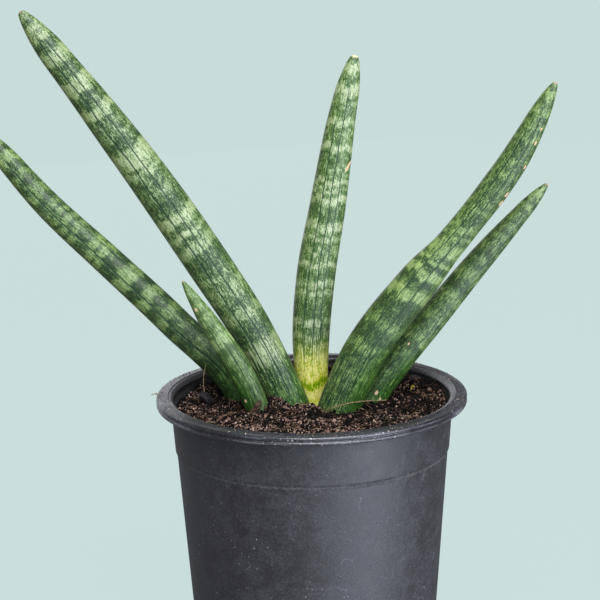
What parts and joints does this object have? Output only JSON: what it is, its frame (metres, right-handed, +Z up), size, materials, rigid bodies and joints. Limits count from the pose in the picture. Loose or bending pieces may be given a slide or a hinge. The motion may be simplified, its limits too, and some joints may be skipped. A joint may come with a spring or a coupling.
{
  "type": "potted snake plant",
  "caption": "Young cylindrical-leaved snake plant whose banded leaves fan out of peat soil in a tapered dark plastic nursery pot with a rolled lip",
  "frame": {"origin": "the middle of the pot's flat underside, the face that it stands on", "axes": "+Z up along the pot's axis; the leaves fan out along X, with the tall left leaf towards -X; +Y towards the plant's back"},
  "size_m": [0.218, 0.12, 0.2578],
  "materials": {
    "pot_plastic": "satin, dusty lip, fine scratches",
    "peat": "loose dark peat with light grains and fibres",
    "leaf_dark": "waxy, dark green with paler mottled cross bands",
    "leaf_banded": "waxy, dark green and grey-green cross bands",
    "leaf_young": "waxy, finely mottled green",
    "leaf_pale_base": "waxy, banded green that turns yellow at the base",
    "rhizome_skin": "orange-brown root skin",
    "dry_root": "dry and fibrous",
    "bark": "dark, smooth, matt",
    "dried_leaf": "dry and papery"
  },
  "bodies": {
    "root": {"pot": "pot_plastic", "potting_soil": "peat", "leaf_far_left": "leaf_dark", "leaf_tall_left": "leaf_banded", "leaf_small_left": "leaf_young", "leaf_centre": "leaf_pale_base", "leaf_tall_right": "leaf_dark", "leaf_low_right": "leaf_dark", "rhizome": "rhizome_skin", "root_fibre_left": "dry_root", "root_fibre_right": "dry_root", "bark_clod_left": "bark", "bark_chip_right": "bark", "dried_scale": "dried_leaf"}
  },
  "joints": []
}
